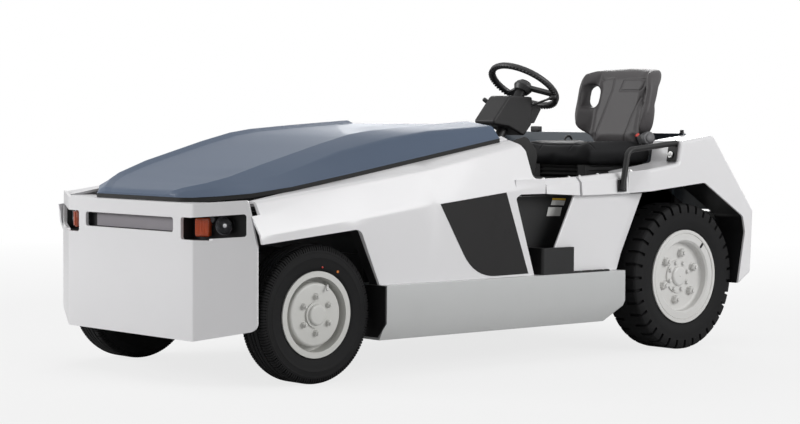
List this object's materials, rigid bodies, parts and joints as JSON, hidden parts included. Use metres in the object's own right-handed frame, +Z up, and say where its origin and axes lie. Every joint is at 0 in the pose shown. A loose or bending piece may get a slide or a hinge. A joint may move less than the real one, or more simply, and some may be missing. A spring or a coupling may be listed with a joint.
{
  "type": "airport baggage tug",
  "caption": "Electric tow tractor for baggage carts with a low flared nose, sloping navy bonnet, open driver's side step, one high-backed seat and a rear pin coupler.",
  "frame": {"origin": "on the ground under the middle of the whole vehicle", "axes": "+Y towards the tail along the vehicle's length, +X towards its left side, +Z up"},
  "size_m": [1.6, 3.23, 1.3574],
  "materials": {
    "frame_paint": "satin",
    "beam_paint": "satin",
    "white_paint": "gloss",
    "navy_paint": "gloss",
    "black_plastic": "matte",
    "grille_metal": "satin",
    "lamp_glass": "gloss",
    "amber_lens": "gloss",
    "red_lens": "gloss",
    "battery_case": "satin",
    "motor_case": "satin",
    "black_steel": "matte",
    "floor_mat": "matte",
    "black_rubber": "matte",
    "black_tube": "satin",
    "seat_steel": "satin",
    "seat_vinyl": "matte",
    "wheel_grip": "satin",
    "tyre": "matte",
    "rim_paint": "satin"
  },
  "bodies": {
    "chassis": {"battery": "battery_case", "battery_tray": "frame_paint", "cowl": "white_paint", "dash_bulkhead": "black_steel", "drive_motor": "motor_case", "floor_plate": "floor_mat", "front_axle": "frame_paint", "front_frame": "frame_paint", "front_sides": "white_paint", "grille_panel": "grille_metal", "headlamps": "lamp_glass", "hip_rails": "black_tube", "lamp_housings": "black_plastic", "nose_liner": "black_plastic", "nose_plate": "white_paint", "nose_top": "white_paint", "pedals": "black_rubber", "rail_covers": "white_paint", "rear_axle": "frame_paint", "rear_deck": "navy_paint", "rear_fenders": "white_paint", "rear_frame": "frame_paint", "rear_panels": "white_paint", "rear_wall": "navy_paint", "seat_back": "seat_vinyl", "seat_base": "black_steel", "seat_cushion": "seat_vinyl", "seat_rails": "seat_steel", "side_beams": "beam_paint", "side_steps": "black_steel", "steering_column": "black_plastic", "step_wells": "black_steel", "tail_lamps": "red_lens", "tail_plate": "beam_paint", "tow_coupler": "frame_paint", "turn_lamps": "amber_lens"},
    "bonnet": {"bonnet": "navy_paint", "bonnet_seal": "black_rubber"},
    "steering_wheel": {"steering_wheel": "wheel_grip"},
    "knuckle_left": {"knuckle_left": "frame_paint"},
    "knuckle_right": {"knuckle_right": "frame_paint"},
    "front_wheel_left": {"front_tyre_left": "tyre", "front_rim_left": "rim_paint"},
    "rear_wheel_left": {"rear_tyre_left": "tyre", "rear_rim_left": "rim_paint"},
    "front_wheel_right": {"front_tyre_right": "tyre", "front_rim_right": "rim_paint"},
    "rear_wheel_right": {"rear_tyre_right": "tyre", "rear_rim_right": "rim_paint"}
  },
  "joints": [
    {"name": "bonnet_hinge", "type": "hinge", "parent": "chassis", "child": "bonnet", "pos_m": [0, -1.572, 0.7495], "axis": [1, 0, 0], "range_deg": [0, 60]},
    {"name": "steer_left", "type": "hinge", "parent": "chassis", "child": "knuckle_left", "pos_m": [0.56, -1.16, 0.288], "axis": [0, 0, 1], "range_deg": [-35, 35]},
    {"name": "steer_right", "type": "hinge", "parent": "chassis", "child": "knuckle_right", "pos_m": [-0.56, -1.16, 0.288], "axis": [0, 0, 1], "range_deg": [-35, 35]},
    {"name": "steering_wheel_turn", "type": "hinge", "parent": "chassis", "child": "steering_wheel", "pos_m": [0.36, 0.365, 1.252], "axis": [0, 0.5591, 0.8291], "range_deg": [-525, 525]},
    {"name": "front_wheel_left_spin", "type": "hinge", "parent": "knuckle_left", "child": "front_wheel_left", "pos_m": [0.627, -1.16, 0.288], "axis": [1, 0, 0], "continuous": true},
    {"name": "front_wheel_right_spin", "type": "hinge", "parent": "knuckle_right", "child": "front_wheel_right", "pos_m": [-0.627, -1.16, 0.288], "axis": [1, 0, 0], "continuous": true},
    {"name": "rear_wheel_left_spin", "type": "hinge", "parent": "chassis", "child": "rear_wheel_left", "pos_m": [0.668, 1.047, 0.348], "axis": [1, 0, 0], "continuous": true},
    {"name": "rear_wheel_right_spin", "type": "hinge", "parent": "chassis", "child": "rear_wheel_right", "pos_m": [-0.668, 1.047, 0.348], "axis": [1, 0, 0], "continuous": true}
  ],
  "couplings": [
    {"joint": "steer_right", "follows": "steer_left", "ratio": 1},
    {"joint": "steering_wheel_turn", "follows": "steer_left", "ratio": 15}
  ]
}
